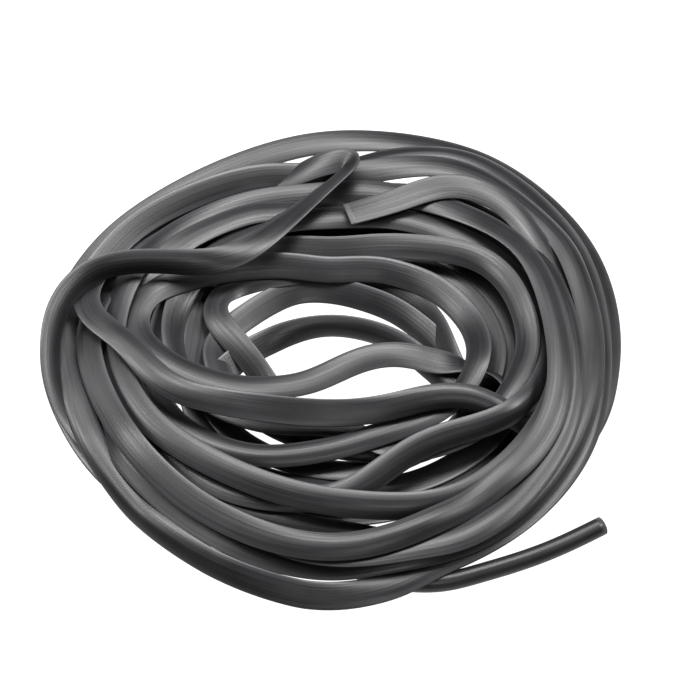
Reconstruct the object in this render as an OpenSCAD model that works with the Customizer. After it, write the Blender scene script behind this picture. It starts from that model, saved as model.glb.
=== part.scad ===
// A soft rubber soaker hose thrown down as one loose, tangled coil.
// The nodes are stretches of one hose: the heap of turns, the round tail that
// leaves it, the open mouth, a strand across the hole, the doubled-back loop
// on top and the other end, which lies pressed flat.

/* [Hose] */
// Outside diameter where the hose is round
hose_od = 13; // [12:0.5:14]
// Thickness of the rubber wall
wall = 1.25; // [1:0.05:1.5]

/* [Coil] */
// Outside diameter of the heap of turns
coil_od = 422; // [410:2:440]
// Width of the hole in the middle
coil_hole = 168; // [150:2:180]
// Height of the heap
coil_h = 40; // [36:1:48]

/* [Ends] */
// Length of straight hose behind the open mouth
mouth_len = 30; // [20:1:40]
// Length of the pressed-flat end
flat_len = 70; // [40:5:80]
// Thickness of the pressed-flat end
flat_t = 3.6; // [3.2:0.2:4.4]

/* [Hidden] */

charcoal = [0.17, 0.17, 0.18];
hose_r = hose_od / 2;
bore_r = hose_r - wall;
coil_r = coil_od / 2;
hole_r = coil_hole / 2;
tube_sides = 12;
steps_per_span = 3;
curve_fn = 128;

// Half the girth of the round hose is the width that it has when pressed flat
flat_w = PI * (hose_od - wall) / 2 + wall;
slit_w = flat_w - 2 * wall;
slit_t = flat_t - 2 * wall;

// The mouth points to the near right corner and lies on the ground
mouth_at = [183, -156, hose_r];
mouth_turn = 30;
mouth_dir = [cos(mouth_turn), sin(mouth_turn), 0];
mouth_back = mouth_at - mouth_len * mouth_dir;

// Routes, chosen by hand: each is the middle line of the hose
tail_route = [
    [50, -204, hose_r],
    [75, -200, hose_r],
    [100, -194, hose_r],
    [125, -185, hose_r],
    [142, -178, hose_r],
    mouth_back
];
hole_route = [
    [-84, -32, hose_r],
    [-68, -10, hose_r],
    [-50, 4, hose_r],
    [-30, 12, hose_r],
    [-8, 17, hose_r],
    [10, 16, hose_r],
    [34, 9, hose_r],
    [53, -2, hose_r],
    [66, -17, hose_r],
    [78, -34, hose_r]
];
loop_top = coil_h + hose_r;
loop_route = [
    [-178, -78, 12],
    [-192, -58, 20],
    [-198, -35, 30],
    [-199, -12, 37],
    [-194, 12, 41],
    [-184, 32, 44],
    [-166, 46, loop_top],
    [-143, 52, loop_top],
    [-117, 53, loop_top],
    [-92, 53, loop_top],
    [-69, 60, loop_top],
    [-49, 75, loop_top],
    [-32, 94, loop_top],
    [-15, 113, loop_top],
    [2, 132, loop_top],
    [14, 148, loop_top],
    [10, 161, loop_top],
    [-8, 162, loop_top],
    [-34, 150, 38]
];

// The flat end's mouth, and the way its stretch of hose runs from there
flat_at = [10, 102, coil_h + flat_t / 2];
flat_turn = 19;

function along(p, i) = p[min(max(i, 0), len(p) - 1)];

// A smooth curve through the points of p, t from 0 to 1 over span i
function spline(p, i, t) =
    let (a = along(p, i - 1), b = along(p, i), c = along(p, i + 1), d = along(p, i + 2))
    b + t / 2 * ((c - a) + t * ((2 * a - 5 * b + 4 * c - d) + t * (3 * b - a - 3 * c + d)));

function smooth(p, n) = concat(
    [for (i = [0 : len(p) - 2], k = [0 : n - 1]) spline(p, i, k / n)],
    [p[len(p) - 1]]
);

function unit(v) = v / norm(v);

// One ring of the tube round point i of line c, square to the line
function ring(c, i, r) =
    let (way = unit(along(c, i + 1) - along(c, i - 1)),
         side = unit(cross(way, [0, 0, 1])),
         top = cross(side, way))
    [for (k = [0 : tube_sides - 1])
        let (a = 360 * (k + 0.5) / tube_sides)
        c[i] + r * (cos(a) * side + sin(a) * top)];

// A plain round rod along a route
module rod_along(route, r) {
    c = smooth(route, steps_per_span);
    n = tube_sides;
    // a ring's corners stand out a little, so that its flats have the rod's true radius
    corner_r = r / cos(180 / n);
    points = [for (i = [0 : len(c) - 1]) each ring(c, i, corner_r)];
    walls = [
        for (i = [0 : len(c) - 2], k = [0 : n - 1])
            let (j = (k + 1) % n)
            each [[i * n + k, i * n + j, (i + 1) * n + j],
                  [i * n + k, (i + 1) * n + j, (i + 1) * n + k]]
    ];
    caps = [
        [for (k = [n - 1 : -1 : 0]) k],
        [for (k = [0 : n - 1]) (len(c) - 1) * n + k]
    ];
    polyhedron(points, concat(walls, caps));
}

// A bar with round edges, w wide and t thick, w counted over the round edges
module flat_outline(w, t) {
    square([w - t, t], center = true);
    for (side = [-1, 1]) translate([side * (w - t) / 2, 0]) circle(d = t, $fn = 32);
}

// The heap of turns: low outside, where the first turn lies on the ground,
// and full height over the middle of the ring
module coil() {
    color(charcoal) rotate_extrude($fn = curve_fn) polygon([
        [hole_r, 0],
        [coil_r - 4, 0],
        [coil_r, 4],
        [coil_r, 10],
        [coil_r - 6, hose_od],
        [coil_r - 30, coil_h - 7],
        [coil_r - 42, coil_h],
        [hole_r + 26, coil_h],
        [hole_r + 10, coil_h - 6],
        [hole_r, coil_h - 22]
    ]);
}

// The tail: the stretch between the heap and the open mouth
module tail() {
    color(charcoal) rod_along(tail_route, hose_r);
}

// The open mouth: straight round hose, hollow, cut off square
module open_mouth() {
    color(charcoal) translate(mouth_back) rotate([0, 0, mouth_turn]) rotate([0, 90, 0])
        difference() {
            cylinder(h = mouth_len, r = hose_r, $fn = curve_fn);
            translate([0, 0, wall]) cylinder(h = mouth_len, r = bore_r, $fn = curve_fn);
        }
}

// A strand that crosses the hole in a low arch on the ground
module hole_strand() {
    color(charcoal) rod_along(hole_route, hose_r);
}

// The loop on top, where the hose doubles back on itself
module returning_loop() {
    color(charcoal) rod_along(loop_route, hose_r);
}

// The other end: pressed flat, with a narrow slit for its mouth
module flat_end() {
    color(charcoal) translate(flat_at) rotate([0, 0, flat_turn]) rotate([90, 0, 90])
        linear_extrude(height = flat_len) difference() {
            flat_outline(flat_w, flat_t);
            flat_outline(slit_w, slit_t);
        }
}

coil();
tail();
open_mouth();
hole_strand();
returning_loop();
flat_end();
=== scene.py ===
import math

import bpy
import numpy as np
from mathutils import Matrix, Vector


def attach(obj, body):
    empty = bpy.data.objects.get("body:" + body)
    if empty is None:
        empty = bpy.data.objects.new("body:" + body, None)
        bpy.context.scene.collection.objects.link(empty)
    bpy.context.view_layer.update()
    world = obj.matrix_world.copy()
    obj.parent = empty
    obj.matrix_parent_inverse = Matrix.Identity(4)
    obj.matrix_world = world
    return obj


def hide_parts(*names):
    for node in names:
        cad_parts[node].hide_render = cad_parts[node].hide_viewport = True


# A soft rubber soaker hose, thrown down as one loose coil. The whole hose is one piece: its route
# is laid out turn by turn, settled under its own weight, and skinned with a section that is round
# at the open mouth, pressed to a lens along most of the length and flat at the other end.
# The route's tables, the meshes, the camera and the lights are in metres, with the tables' places
# at whole millimetres. Settling and the section are worked out in millimetres.

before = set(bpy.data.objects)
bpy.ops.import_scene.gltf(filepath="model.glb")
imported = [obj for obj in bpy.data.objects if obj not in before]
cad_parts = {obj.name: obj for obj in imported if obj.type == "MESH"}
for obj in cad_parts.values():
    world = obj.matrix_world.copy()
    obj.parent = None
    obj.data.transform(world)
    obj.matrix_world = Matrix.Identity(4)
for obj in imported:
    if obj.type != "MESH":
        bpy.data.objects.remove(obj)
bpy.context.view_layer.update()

MM = 0.001
Z = np.array([0.0, 0.0, 1.0])

# ---------------------------------------------------------------- the hose
HOSE_OD = 13.0
WALL = 1.25
HALF_GIRTH = math.pi * HOSE_OD / 2
LIP_R = 0.7                 # rounding of the two creases of a pressed hose
MIN_LIP_R = 0.12            # the same inside the bore
BORE_DEPTH = 45.0           # how far the hollow mouths are modelled
BORE_THICKNESS = 0.55       # the bore's thickness, as a part of the hose's
CURVE_STEP = 4.0            # spacing of the points on the laid curve
STEP = 5.0                  # spacing of the settled points
RING_STEP = 4.4             # spacing of the skin's rings
ARC_POINTS = 10             # skin points on each face, between the creases
LIP_POINTS = 3              # skin points round each crease

# ---------------------------------------------------------------- the route
# Every stretch of the hose is a list of places, with how full the hose is there (1 is round and
# 0 pressed flat) and how far its upper face leans to the left of the way it runs, in radians.


def millimetres(length):
    return round(length / MM)


def strand(places, fill, lean):
    return [tuple(map(millimetres, place)) for place in places], fill, lean


# A turn is laid clockwise and read like a clock face: 12 is the far side, 3 the right, 6 the
# near side and 9 the left. It has its reach from the coil's middle and its height, hour by hour.
HOURS = [6, 7, 8, 9, 10, 11, 12, 1, 2, 3, 4, 5]


def turn(reaches, heights, fill, lean, hours=HOURS):
    places = []
    for hour, reach, height in zip(hours, map(millimetres, reaches), map(millimetres, heights)):
        angle = math.radians(30 * hour)
        places.append((reach * math.sin(angle), reach * math.cos(angle), height))
    return places, fill, lean


# The tail: from the open mouth along the ground to the heap
TAIL = strand([(.183, -.156, .007), (.153, -.173, .007), (.126, -.185, .007), (.092, -.196, .007),
               (.059, -.204, .007), (.035, -.202, .007), (.009, -.188, .007), (-.021, -.176, .007),
               (-.052, -.165, .007)], 1, 0)
# The lower turns, roughly from the outside in
LOWER_TURNS = [
    turn([.186, .191, .201, .196, .193, .207, .218, .211, .198, .191, .198],
         [.007] * 11,
         [.4, .2, .1, .05, .05, .2, .3, .12, .15, .4, .5],
         [0, 0, -.2, -.5, -.6, -.3, .2, .5, .4, .3, .3],
         HOURS[1:]),
    turn([.16, .16, .168, .174, .172, .162, .172, .194, .208, .202, .19, .195, .202],
         [.008, .007, .007, .007, .007, .008, .014, .018, .02, .021, .021, .021, .022],
         .35, .2, HOURS[:7] + [12.5] + HOURS[7:]),
    turn([.214, .2, .189, .191, .178, .16, .15, .184, .185, .184, .19, .2],
         [.018, .01, .02, .026, .036, .038, .037, .034, .033, .032, .03, .028],
         [.3, .25, .2, .1, .05, .05, .1, .2, .3, .4, .4, .4],
         [.8, .8, .4, 0, -.3, -.5, -.4, .1, .3, .3, .3, .4]),
    turn([.196, .184, .178, .166, .15, .137, .14, .156, .155, .149, .149, .148],
         [.024, .026, .026, .016, .008, .007, .007, .008, .008, .008, .008, .008],
         [.3, .2, .15, .3] + [.2] * 8, [.3, .5, .7, .4] + [0] * 8),
    turn([.147, .148, .142, .137, .13, .118, .115, .12, .128, .132, .136, .131],
         [.008] * 12,
         .1, 0),
    turn([.122, .123, .112, .1, .104, .097, .093, .098, .109, .116, .114, .112],
         [.008] * 12,
         .1, -.1),
    turn([.091, .084, .084, .085, .068, .061, .053, .051, .06, .078, .092, .098],
         [.008, .01, .013, .016, .014, .009, .008, .008, .008, .008, .01, .012],
         [.1, .1, .1, .1, .2, .2, .2, .2, .3, .3, .3, .3],
         [-.2, -.2, -.2, -.3, -.5, -.6, -.7, -.7, -.6, -.5, -.5, -.5]),
]
# Three strands that run in across the hole
HOLE_TURN = strand([(.02, -.096, .012), (-.03, -.066, .014), (-.048, -.032, .018),
                    (-.06, -.015, .02), (-.072, .002, .021), (-.086, .022, .022),
                    (-.084, .042, .02), (-.066, .056, .018), (-.04, .062, .016),
                    (-.005, .068, .014), (.029, .063, .013), (.049, .051, .012), (.064, .035, .012),
                    (.073, .014, .012), (.08, 0, .012), (.088, -.02, .014), (.094, -.048, .014),
                    (.08, -.078, .014)],
                   [.2, .15, .1, .1, .1, .1, .3] + [.2] * 11,
                   [0, .3, .5, .5, .4, .2, 0] + [-.5] * 11)
ARCH = strand([(.052, -.103, .013), (0, -.107, .012), (-.048, -.092, .012), (-.08, -.063, .012),
               (-.084, -.032, .012), (-.068, -.01, .011), (-.05, .004, .01), (-.03, .012, .01),
               (-.008, .017, .01), (.01, .016, .01), (.034, .009, .01), (.053, -.002, .01),
               (.066, -.017, .011), (.08, -.036, .012), (.096, -.056, .014), (.116, -.066, .017),
               (.13, -.052, .02), (.118, -.034, .021), (.096, -.03, .02)],
              .25,
              [-.2] * 6 + [-.3, -.8] + [-1.1] * 4 + [-.8] * 7)
BRIDGE = strand([(.076, -.028, .02), (.062, -.02, .02), (.046, -.014, .02), (.026, -.015, .02),
                 (.008, -.023, .02), (-.011, -.035, .02), (-.032, -.043, .02), (-.058, -.044, .021),
                 (-.084, -.038, .023), (-.11, -.028, .026), (-.13, -.014, .028),
                 (-.142, .008, .029), (-.136, .034, .03)],
                .35,
                .3)
# The upper turns, roughly from the hole's edge out
UPPER_TURNS = [
    turn([.112, .076, .061, .072, .084, .101, .106, .097],
         [.029, .028, .028, .028, .028, .027, .024, .024],
         [.2, .1, .1, .1, .15, .3, .5, .6], [-.5, -.6, -.6, -.6, -.6, -.4, -.3, 0], HOURS[4:]),
    turn([.099, .118, .133, .128, .124, .09, .079, .096, .13, .14, .136, .116],
         [.024, .025, .025, .022, .026, .031, .032, .032, .032, .03, .027, .024],
         [.6, .6, .5, .2, .2, .25, .3, .3, .35, .4, .4, .4],
         [0, 0, 0, -.8, -.6, -.6, -.7, -.5, -.4, -.2, 0, 0]),
    turn([.08, .087, .104, .115, .118, .11, .106, .122, .14, .156, .145, .119],
         [.02, .02, .02, .018, .026, .035, .036, .034, .033, .034, .036, .036],
         [.1, .1, .2, .2, .15, .1, .15, .3, .4, .5, .4, .3],
         [0, 0, 0, -.6, -.4, -.3, -.4, -.3, -.2, .2, .3, .3]),
    turn([.14, .15, .148, .148, .142, .125, .116, .13, .15, .162, .167, .168],
         [.027, .025, .026, .028, .034, .036, .036, .034, .033, .034, .036, .036],
         [.4, .3, .3, .2, .1, .1, .2, .3, .4, .5, .4, .35],
         [.3, 0, 0, -.6, -.3, -.2, -.2, -.3, -.2, 0, .2, .4]),
    turn([.149, .142, .151, .157, .154, .14, .13, .138, .153, .157, .174, .186],
         [.036, .036, .036, .034, .034, .036, .038, .038, .038, .037, .036, .035],
         [.1, .05, .1, .2, .2, .1, .1, .3, .4, .4, .4, .4],
         [.4, .5, .5, .3, 0, -.4, -.4, -.2, .1, .2, .3, .4]),
    turn([.19, .177, .17, .174, .167, .151, .14, .156, .164, .167, .183, .196],
         [.036, .035, .034, .032, .028, .026, .027, .031, .034, .034, .034, .033],
         [.2, .02, .02, .1, .2, .3, .4, .4, .4, .5, .5, .4],
         [.4, .45, .45, .3, 0, -.2, -.2, 0, .1, .2, .3, .4]),
]
# Up the left edge, over the heap to the far side, and doubled back on itself
LOOP_RISE = strand([(.04, -.19, .033), (-.01, -.19, .032), (-.06, -.17, .024), (-.105, -.142, .014),
                    (-.142, -.112, .014), (-.168, -.088, .019), (-.184, -.068, .027),
                    (-.193, -.046, .037), (-.198, -.02, .046), (-.196, .006, .047),
                    (-.186, .028, .047)],
                   [.3, .3, .3, .3, .3, .3, .25, .2, .15, .1, .1],
                   [.3, .3, .3, .2, 0, -.3, -.7, -1.0, -1.1, -1.1, -1.1])
LOOP_LIMB = strand([(-.171, .044, .048), (-.15, .051, .049), (-.124, .053, .049),
                    (-.097, .052, .049), (-.075, .057, .049), (-.057, .068, .05),
                    (-.039, .087, .05), (-.021, .107, .05), (-.004, .126, .05), (.01, .142, .05)],
                   [.15, .15, .15, .1, .05, .03, .03, .05, .1, .2],
                   [-1.1, -1.1, -1, -.8, -.4, 0, .3, .6, .8, .9])
LOOP_BACK = strand([(.017, .153, .048), (.01, .158, .046), (-.008, .154, .045), (-.028, .147, .041),
                    (-.052, .141, .032), (-.084, .13, .025), (-.118, .11, .024),
                    (-.148, .082, .027), (-.168, .054, .035)],
                   .2,
                   [.9, .8, .5, .2, .2, 0, 0, 0, -.2])
# The last turn runs anticlockwise, in front of the hole and round to the flat end
RETURN_FRONT = strand([(-.177, .034, .042), (-.177, .018, .045), (-.168, .002, .046),
                       (-.152, -.012, .046), (-.138, -.028, .046), (-.126, -.046, .046),
                       (-.106, -.062, .046), (-.074, -.072, .046), (-.047, -.077, .046),
                       (-.018, -.081, .046), (.011, -.081, .045), (.038, -.076, .044),
                       (.067, -.066, .042), (.094, -.064, .04), (.117, -.07, .03),
                       (.137, -.076, .019)],
                      [.2, .05, .02, .02, .05, .1, .15, .15, .15, .15, .15, .2, .3, .4, .5, .5],
                      [0, 0, 0, 0, -.2, -.4, -.5, -.5, -.5, -.5, -.5, -.4, -.4, -.3, -.2, 0])
RETURN_RIGHT = strand([(.156, -.076, .013), (.171, -.062, .013), (.178, -.042, .016),
                       (.179, -.018, .022), (.176, .006, .026), (.171, .032, .028),
                       (.161, .058, .03), (.15, .08, .034), (.138, .1, .039), (.124, .116, .043),
                       (.107, .126, .045), (.088, .13, .046), (.069, .126, .046), (.05, .117, .046),
                       (.03, .109, .046), (.01, .102, .046)],
                      [.5, .4, .3, .2, .2, .2, .3, .3, .3, .2, .15, .1, .05, .03, .02, .02],
                      [0, .2, .5, .5, .3, .2, 0, -.2, 0, .1, .2, .3, .3, .3, .3, .3])
STRETCHES = [TAIL, *LOWER_TURNS, HOLE_TURN, ARCH, BRIDGE, *UPPER_TURNS,
             LOOP_RISE, LOOP_LIMB, LOOP_BACK, RETURN_FRONT, RETURN_RIGHT]


def curve_through(points, spacing):
    """A smooth curve through the points (centripetal Catmull-Rom), sampled about every spacing."""
    padded = np.vstack([2 * points[0] - points[1], points, 2 * points[-1] - points[-2]])
    out = []
    for a, b, c, d in zip(padded, padded[1:], padded[2:], padded[3:]):
        t1 = np.linalg.norm((b - a)[:3]) ** 0.5
        t2 = t1 + np.linalg.norm((c - b)[:3]) ** 0.5
        t3 = t2 + np.linalg.norm((d - c)[:3]) ** 0.5
        count = max(2, round(float(np.linalg.norm((c - b)[:3])) / spacing))
        t = t1 + (t2 - t1) * (np.arange(count) / count)[:, None]
        ab = (t1 - t) / t1 * a + t / t1 * b
        bc = (t2 - t) / (t2 - t1) * b + (t - t1) / (t2 - t1) * c
        cd = (t3 - t) / (t3 - t2) * c + (t - t2) / (t3 - t2) * d
        abc = (t2 - t) / t2 * ab + t / t2 * bc
        bcd = (t3 - t) / (t3 - t1) * bc + (t - t1) / (t3 - t1) * cd
        out.append((t2 - t) / (t2 - t1) * abc + (t - t1) / (t2 - t1) * bcd)
    return np.vstack(out + [points[-1:]])


def distances(line):
    steps = np.linalg.norm(np.diff(line[:, :3], axis=0), axis=1)
    return np.concatenate([[0.0], np.cumsum(steps)])


def evenly(line, spacing):
    along = distances(line)
    at = np.linspace(0, along[-1], round(along[-1] / spacing) + 1)
    return np.stack([np.interp(at, along, column) for column in line.T], 1)


def laid_hose():
    """The laid route at even steps: places, fill and lean."""
    rows = []
    for places, fill, lean in STRETCHES:
        count = len(places)
        fills = fill if isinstance(fill, list) else [fill] * count
        leans = lean if isinstance(lean, list) else [lean] * count
        rows += [(*place, f, a) for place, f, a in zip(places, fills, leans)]
    return evenly(curve_through(np.array(rows, float), CURVE_STEP), STEP)


def soften(values, times):
    for _ in range(times):
        values[1:-1] = 0.25 * values[:-2] + 0.5 * values[1:-1] + 0.25 * values[2:]
    return values


def wander(at, wave, amount, seed):
    """A slow random drift along the hose, the same on every run."""
    knots = np.random.default_rng(seed).normal(size=int(at[-1] / wave) + 3)
    place = at / wave
    low = place.astype(int)
    part = place - low
    part = part * part * (3 - 2 * part)
    return amount * (knots[low] * (1 - part) + knots[low + 1] * part)


# ---------------------------------------------------------------- the section
MIN_ARC = 0.12              # half angle of each face's arc when the hose is flat


def arc_of(fill):
    """Half angle and radius of the two arcs of a hose filled from 0, flat, to 1, round."""
    half = MIN_ARC + (math.pi / 2 - MIN_ARC) * np.clip(fill, 0, 1)
    radius = (HALF_GIRTH / 2 - LIP_R * math.pi / 2) / half
    return half, radius


def half_sizes(fill):
    half, radius = arc_of(fill)
    return radius * np.sin(half) + LIP_R, radius * (1 - np.cos(half)) + LIP_R


def section(fill, bend, inset):
    """Outline of the pressed hose in its own plane: x across the width, y across the thickness."""
    half, radius = arc_of(fill)
    lip = max(LIP_R - inset, MIN_LIP_R)
    outline = []
    for face in (1, -1):
        for a in np.linspace(-half, half, ARC_POINTS) * face:
            x, y = radius * np.sin(a), radius * (np.cos(a) - np.cos(half))
            outline.append((x + lip * np.sin(a), face * (y + lip * np.cos(a))))
        x = face * radius * np.sin(half)
        for a in np.linspace(half, math.pi - half, LIP_POINTS + 2)[1:-1]:
            outline.append((x + face * lip * np.sin(a), face * lip * np.cos(a)))
    x = np.array([p[0] for p in outline])
    y = np.array([p[1] for p in outline])
    reach = radius * np.sin(half) + lip
    return x, y + bend * (1 - (x / reach) ** 2)


def axes_along(line, roll):
    """The way that the line runs, and the directions of the section's width and thickness."""
    way = np.gradient(line, axis=0)
    way /= np.linalg.norm(way, axis=1)[:, None]
    side = np.cross(Z[None], way)
    side /= np.maximum(np.linalg.norm(side, axis=1), 1e-6)[:, None]
    up = np.cross(way, side)
    c, s = np.cos(roll)[:, None], np.sin(roll)[:, None]
    return way, c * side - s * up, c * up + s * side


def height_needed(fill, wide, thick):
    """How high the middle line lies when the section just touches the ground."""
    wide_half, thick_half = half_sizes(fill)
    return np.sqrt((wide_half * wide[:, 2]) ** 2 + (thick_half * thick[:, 2]) ** 2)


# ---------------------------------------------------------------- settling
ROUNDS = 160
PAIRS_EVERY = 10            # rounds between two searches for strands near each other
PAIR_REACH = 30.0           # how near two strands must be to be looked at
PAIR_SKIP = 8               # points along the hose that don't count as another strand
CROSSING_SLANT = 0.5        # sine of the angle from which two strands cross
MOST_PUSH = 6.0             # most overlap that one round deals with
GIVE = np.array([0.8, 0.8, 1.0])
SINK_LAST = 0.02            # how far the hose sinks in the last round, and how much more at first
SINK_MORE = 0.10
HOLD = 0.02                 # pull back to the laid route, seen from above


def close_pairs(line, reach, skip):
    """Pairs of points nearer than reach, and more than skip apart along the hose."""
    boxes = {}
    for i, cell in enumerate(map(tuple, np.floor(line[:, :2] / reach).astype(int))):
        boxes.setdefault(cell, []).append(i)
    firsts, seconds = [], []
    for (a, b), ids in boxes.items():
        around = [boxes.get((a + i, b + j), []) for i in (-1, 0, 1) for j in (-1, 0, 1)]
        others = np.array(sum(around, []))
        first, second = (m.ravel() for m in np.meshgrid(ids, others, indexing="ij"))
        keep = (second - first > skip)
        first, second = first[keep], second[keep]
        keep = ((line[first] - line[second]) ** 2).sum(1) < reach * reach
        firsts.append(first[keep])
        seconds.append(second[keep])
    return np.concatenate(firsts), np.concatenate(seconds)


def closest_places(line, i, j):
    """Where segments i and j of the line come closest, as parts of each segment."""
    u, v, w = line[i + 1] - line[i], line[j + 1] - line[j], line[i] - line[j]
    uu, uv, vv = (u * u).sum(1), (u * v).sum(1), (v * v).sum(1)
    uw, vw = (u * w).sum(1), (v * w).sum(1)
    spread = uu * vv - uv * uv
    level = spread < 1e-3 * uu * vv
    s = np.where(level, 0.5, (uv * vw - vv * uw) / np.where(level, 1, spread))
    t = np.clip((uv * np.clip(s, 0, 1) + vw) / vv, 0, 1)
    s = np.clip((uv * t - uw) / uu, 0, 1)
    return s, t


def part_crossing(way, i, j, over, gap, reach):
    """Strands that cross are parted square to both, the one laid higher upwards."""
    square = np.cross(way[i], way[j])
    slant = np.linalg.norm(square, axis=1)
    square /= np.maximum(slant, 1e-9)[:, None]
    square *= np.where(square[:, 2:] < 0, -1.0, 1.0) * over
    return slant, square, reach(i, square) + reach(j, square) - (gap * square).sum(1)


def part_beside(way, thick, i, j, over, gap, reach):
    """Strands side by side are parted the shortest way: straight apart, or face from face."""
    same = np.where((way[i] * way[j]).sum(1) < 0, -1.0, 1.0)[:, None]
    mean = way[i] + same * way[j]
    mean /= np.linalg.norm(mean, axis=1)[:, None]
    skew = (gap * mean).sum(1)
    flat = gap - skew[:, None] * mean
    size = np.linalg.norm(flat, axis=1)
    ways = [np.where(size[:, None] > 1e-6, flat / np.maximum(size, 1e-9)[:, None], Z * over)]
    for face in (thick[i], thick[j]):
        n = face - (face * mean).sum(1)[:, None] * mean
        n /= np.linalg.norm(n, axis=1)[:, None]
        ways.append(n * np.where((n * flat).sum(1) < 0, -1.0, 1.0)[:, None])
    depths = np.array([reach(i, n) + reach(j, n) - (flat * n).sum(1) for n in ways])
    pick = depths.argmin(0)
    rows = np.arange(len(i))
    return skew, np.stack(ways)[pick, rows], depths[pick, rows]


def pushes(line, i, j, s, t, normal, depth):
    """How each point of the line moves when overlapping strands give way by half each."""
    hit = depth > 0
    push = np.zeros_like(line)
    load = np.zeros(len(line))
    part = 0.5 * np.minimum(depth[hit], MOST_PUSH)[:, None] * normal[hit]
    for where, weight, sign in ((i, 1 - s, 1), (i + 1, s, 1), (j, 1 - t, -1), (j + 1, t, -1)):
        np.add.at(push, where[hit], sign * part * weight[hit][:, None])
        np.add.at(load, where[hit], weight[hit])
    return push / np.maximum(load, 1.0)[:, None]


def overlaps(line, laid, i, j, axes, sizes):
    """Where the pairs of segments come closest, the way to part them and how deep they overlap."""
    way, wide, thick = axes
    wide_half, thick_half = sizes
    over = np.where(laid[i, 2] >= laid[j, 2], 1.0, -1.0)[:, None]
    s, t = closest_places(line, i, j)
    gap = (line[i] + (line[i + 1] - line[i]) * s[:, None]
           - line[j] - (line[j + 1] - line[j]) * t[:, None])

    def reach(k, n):
        return np.sqrt((wide_half[k] * (wide[k] * n).sum(1)) ** 2
                       + (thick_half[k] * (thick[k] * n).sum(1)) ** 2)

    slant, square, deep_cross = part_crossing(way, i, j, over, gap, reach)
    skew, apart, deep_beside = part_beside(way, thick, i, j, over, gap, reach)
    inside = (s > 0.001) & (s < 0.999) & (t > 0.001) & (t < 0.999)
    crossing = (slant > CROSSING_SLANT) & inside
    beside = (slant <= CROSSING_SLANT) & (np.abs(skew) < 1.2 * STEP)
    depth = np.where(crossing, deep_cross, np.where(beside, deep_beside, -1.0))
    return s, t, np.where(crossing[:, None], square, apart), depth


def settle(laid, fill, roll):
    """Sinks the laid hose onto the ground and parts its strands; tight places keep some overlap."""
    line = laid.copy()
    for r in range(ROUNDS):
        axes = axes_along(line, roll)
        if r % PAIRS_EVERY == 0:
            i, j = close_pairs(line[:-1], PAIR_REACH, PAIR_SKIP)
        s, t, normal, depth = overlaps(line, laid, i, j, axes, half_sizes(fill))
        line += pushes(line, i, j, s, t, normal, depth) * GIVE
        line[:, 2] -= SINK_LAST + SINK_MORE * (1 - r / ROUNDS)
        line[:, :2] += HOLD * (laid[:, :2] - line[:, :2])
        line = laid + soften(line - laid, 3 if r < 0.8 * ROUNDS else 1)
        line[:, 2] = np.maximum(line[:, 2], height_needed(fill, *axes[1:]))
    return line


# ---------------------------------------------------------------- the hose's skin
TAIL_END = 300.0            # how far along the round tail ends
HEAP_BLEND = 250.0          # how far it takes to look like the rest
HEAP_SLACK = 0.25           # how much less full the hose is in the heap than it was laid
LINE_SOFTENING = 10
SHAPE_SOFTENING = 8


def lay_hose():
    """The settled middle line, with how full, how turned and how bowed the hose is along it."""
    laid = laid_hose()
    line, fill, lean = laid[:, :3], laid[:, 3].copy(), laid[:, 4].copy()
    at = distances(line)
    in_heap = np.clip((at - TAIL_END) / HEAP_BLEND, 0, 1)
    fill = np.clip(fill * (1 - HEAP_SLACK * in_heap) + wander(at, 130, 0.08, 3) * in_heap, 0.02, 1)
    lean += wander(at, 170, 0.22, 5) * in_heap
    bend = wander(at, 120, 0.8, 9) * np.clip(1.4 - 1.2 * fill, 0, 1)
    return settle(line, fill, lean), fill, lean, bend


def tube_faces(loops, count):
    """Faces between loops of count points each, closed by one face at each end."""
    k = np.arange(count)
    faces = []
    for a in range(loops - 1):
        low, high = a * count, (a + 1) * count
        sides = [low + k, low + (k + 1) % count, high + (k + 1) % count, high + k]
        faces += np.stack(sides, 1).tolist()
    faces.append(list(range(count - 1, -1, -1)))
    faces.append(list(range((loops - 1) * count, loops * count)))
    return faces


def hose_mesh():
    """The hose's mesh, and its middle line in metres."""
    line, fill, roll, bend = lay_hose()
    along = distances(line)
    rings = round(along[-1] / RING_STEP)
    at = np.linspace(0, along[-1], rings + 1)
    line = np.stack([np.interp(at, along, line[:, k]) for k in range(3)], 1)
    line = soften(line, LINE_SOFTENING)
    fill, roll, bend = (soften(np.interp(at, along, v), SHAPE_SOFTENING) for v in (fill, roll, bend))
    _, wide, thick = axes_along(line, roll)
    line[:, 2] = np.maximum(line[:, 2], height_needed(fill, wide, thick) + np.abs(bend))

    def ring(k, inset):
        x, y = section(fill[k], bend[k], inset)
        if inset:
            x, y = x * (1 - inset / half_sizes(fill[k])[0]), y * BORE_THICKNESS
        return line[k] + x[:, None] * wide[k] + y[:, None] * thick[k]

    deep = round(BORE_DEPTH / RING_STEP)
    loops = [ring(k, WALL) for k in range(deep, -1, -1)]
    loops += [ring(k, 0) for k in range(rings + 1)]
    loops += [ring(k, WALL) for k in range(rings, rings - deep - 1, -1)]
    count = len(loops[0])
    mesh = bpy.data.meshes.new("hose")
    mesh.from_pydata((np.concatenate(loops) * MM).tolist(), [], tube_faces(len(loops), count))
    mesh.polygons.foreach_set("use_smooth", [True] * len(mesh.polygons))
    rims = (deep, deep + 1, deep + rings + 1, deep + rings + 2)
    mark_surface(mesh, len(loops), count, rims)
    mesh.update()
    return mesh, line * MM


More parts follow.
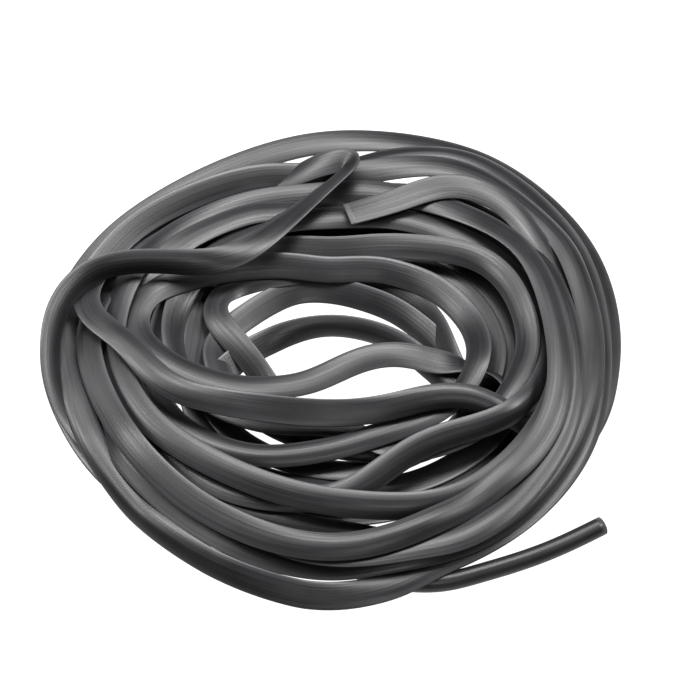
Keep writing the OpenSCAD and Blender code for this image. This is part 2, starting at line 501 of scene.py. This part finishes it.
def mark_surface(mesh, rings, count, rims):
    """Two values for the material: how much painted highlight a point gets, on the creases and cut
    rims, and its place.
    """
    # Painted highlight: the creases and the cut rims are marked for a lighter colour, which stands
    # in for the thin bright lines that light draws along them.
    k = np.arange(count) % (count // 2)
    near = np.where(k >= ARC_POINTS, 1.0, 0.0)
    near[(k == 0) | (k == ARC_POINTS - 1)] = 0.8
    near[(k == 1) | (k == ARC_POINTS - 2)] = 0.3
    painted_highlight = np.tile(near, (rings, 1))
    painted_highlight[list(rims)] = 1.5
    mesh.attributes.new("painted_highlight", "FLOAT", "POINT").data.foreach_set("value", painted_highlight.ravel())
    turned = 2 * math.pi * np.arange(count) / count
    skin = np.stack([np.tile(np.cos(turned), rings), np.tile(np.sin(turned), rings),
                     np.repeat(np.arange(rings) * RING_STEP * MM, count)], 1)
    mesh.attributes.new("skin", "FLOAT_VECTOR", "POINT").data.foreach_set("vector", skin.ravel())


def hose_piece():
    mesh, line = hose_mesh()
    hose = bpy.data.objects.new("hose", mesh)
    bpy.context.collection.objects.link(hose)
    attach(hose, "root")
    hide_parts("coil", "tail", "open_mouth", "hole_strand", "returning_loop", "flat_end")
    return hose


# ---------------------------------------------------------------- materials
def node_material(name):
    material = bpy.data.materials.new(name)
    material.use_nodes = True
    nodes, links = material.node_tree.nodes, material.node_tree.links
    return material, nodes, links, nodes["Principled BSDF"]


def noise(nodes, links, source, scale, detail, stretch=(1, 1, 1)):
    """A noise texture over the source's vectors, stretched."""
    placing = nodes.new("ShaderNodeMapping")
    placing.inputs["Scale"].default_value = stretch
    texture = nodes.new("ShaderNodeTexNoise")
    texture.inputs["Scale"].default_value = scale
    texture.inputs["Detail"].default_value = detail
    links.new(source, placing.inputs["Vector"])
    links.new(placing.outputs["Vector"], texture.inputs["Vector"])
    return texture.outputs["Fac"]


def span(nodes, links, value, low, high, to_low, to_high):
    """The value between low and high, spread over to_low and to_high."""
    node = nodes.new("ShaderNodeMapRange")
    links.new(value, node.inputs["Value"])
    for name, number in (("From Min", low), ("From Max", high),
                         ("To Min", to_low), ("To Max", to_high)):
        node.inputs[name].default_value = number
    return node.outputs["Result"]


def mixed(nodes, links, part, first, second):
    """A colour between two, each a colour or another node's output."""
    node = nodes.new("ShaderNodeMix")
    node.data_type = "RGBA"
    links.new(part, node.inputs["Factor"])
    for socket, colour in ((node.inputs[6], first), (node.inputs[7], second)):
        if isinstance(colour, tuple):
            socket.default_value = colour
        else:
            links.new(colour, socket)
    return node.outputs[2]


def rubber():
    material, nodes, links, shader = node_material("soft_black_rubber")
    shader.inputs["Specular IOR Level"].default_value = 0.27
    place = nodes.new("ShaderNodeTexCoord").outputs["Object"]
    skin, painted_highlight = (nodes.new("ShaderNodeAttribute") for _ in range(2))
    skin.attribute_name = "skin"
    painted_highlight.attribute_name = "painted_highlight"
    cloud = noise(nodes, links, place, 26, 5)
    streaks = noise(nodes, links, skin.outputs["Vector"], 5, 4, (1, 1, 1.5))
    specks = noise(nodes, links, place, 900, 2)

    colour = mixed(nodes, links, span(nodes, links, cloud, 0.3, 0.7, 0, 1),
                   (0.006, 0.006, 0.0065, 1), (0.011, 0.011, 0.012, 1))
    # Painted highlight: the creases and cut rims are mixed towards a lighter grey, in place of the
    # bright lines of light along them.
    highlight_part = span(nodes, links, painted_highlight.outputs["Fac"], 0, 1.5, 0, 0.9)
    colour = mixed(nodes, links, highlight_part, colour, (0.04, 0.04, 0.042, 1))
    dust = span(nodes, links, specks, 0.74, 0.8, 0, 0.5)
    colour = mixed(nodes, links, dust, colour, (0.12, 0.12, 0.115, 1))
    links.new(colour, shader.inputs["Base Color"])
    links.new(span(nodes, links, streaks, 0.3, 0.7, 0.34, 0.5), shader.inputs["Roughness"])

    bump = nodes.new("ShaderNodeBump")
    bump.inputs["Strength"].default_value = 0.25
    bump.inputs["Distance"].default_value = 0.0006
    links.new(streaks, bump.inputs["Height"])
    links.new(bump.outputs["Normal"], shader.inputs["Normal"])
    return material


# ---------------------------------------------------------------- stage, light and camera
CAMERA_TILT = math.radians(51)
CAMERA_AWAY = 1.8
CAMERA_AIM = Vector((0.012, 0.0025, 0))
CAMERA_LENS = 128.6
FLOOR_HALF = 4.0


def make_camera():
    data = bpy.data.cameras.new("camera")
    data.lens = CAMERA_LENS
    camera = bpy.data.objects.new("camera", data)
    bpy.context.collection.objects.link(camera)
    back = Vector((0, -math.cos(CAMERA_TILT), math.sin(CAMERA_TILT)))
    camera.location = CAMERA_AIM + back * CAMERA_AWAY
    camera.rotation_euler = back.to_track_quat("Z", "Y").to_euler()
    bpy.context.scene.camera = camera


def make_floor():
    mesh = bpy.data.meshes.new("floor")
    corners = [(x * FLOOR_HALF, y * FLOOR_HALF, 0) for x, y in ((-1, -1), (1, -1), (1, 1), (-1, 1))]
    mesh.from_pydata(corners, [], [(0, 1, 2, 3)])
    floor = bpy.data.objects.new("floor", mesh)
    bpy.context.collection.objects.link(floor)
    material, _, _, shader = node_material("pale_floor")
    shader.inputs["Base Color"].default_value = (0.07, 0.07, 0.07, 1)
    shader.inputs["Roughness"].default_value = 1
    shader.inputs["Specular IOR Level"].default_value = 0
    shader.inputs["Emission Color"].default_value = (1, 1, 1, 1)
    shader.inputs["Emission Strength"].default_value = 0.93
    mesh.materials.append(material)


def soft_light(name, place, width, depth, power):
    data = bpy.data.lights.new(name, "AREA")
    data.shape = "RECTANGLE"
    data.size = width
    data.size_y = depth
    data.energy = power
    light = bpy.data.objects.new(name, data)
    light.location = place
    light.rotation_euler = Vector(place).to_track_quat("Z", "Y").to_euler()
    bpy.context.collection.objects.link(light)


def make_lights():
    world = bpy.data.worlds.new("studio")
    world.use_nodes = True
    world.node_tree.nodes["Background"].inputs["Color"].default_value = (1, 1, 1, 1)
    world.node_tree.nodes["Background"].inputs["Strength"].default_value = 0.04
    bpy.context.scene.world = world
    soft_light("top_light", (-0.05, 0.45, 1.45), 1.5, 0.5, 68)
    soft_light("front_light", (0.1, -1.2, 1.1), 0.6, 0.4, 8)
    soft_light("left_light", (-1.3, 0.2, 1.1), 0.6, 0.5, 32)
    soft_light("right_light", (1.3, 0.2, 1.1), 0.6, 0.5, 36)
    bpy.context.scene.view_settings.view_transform = "Standard"
    bpy.context.scene.view_settings.look = "Medium High Contrast"


make_camera()
hose = hose_piece()
hose.data.materials.append(rubber())
make_floor()
make_lights()
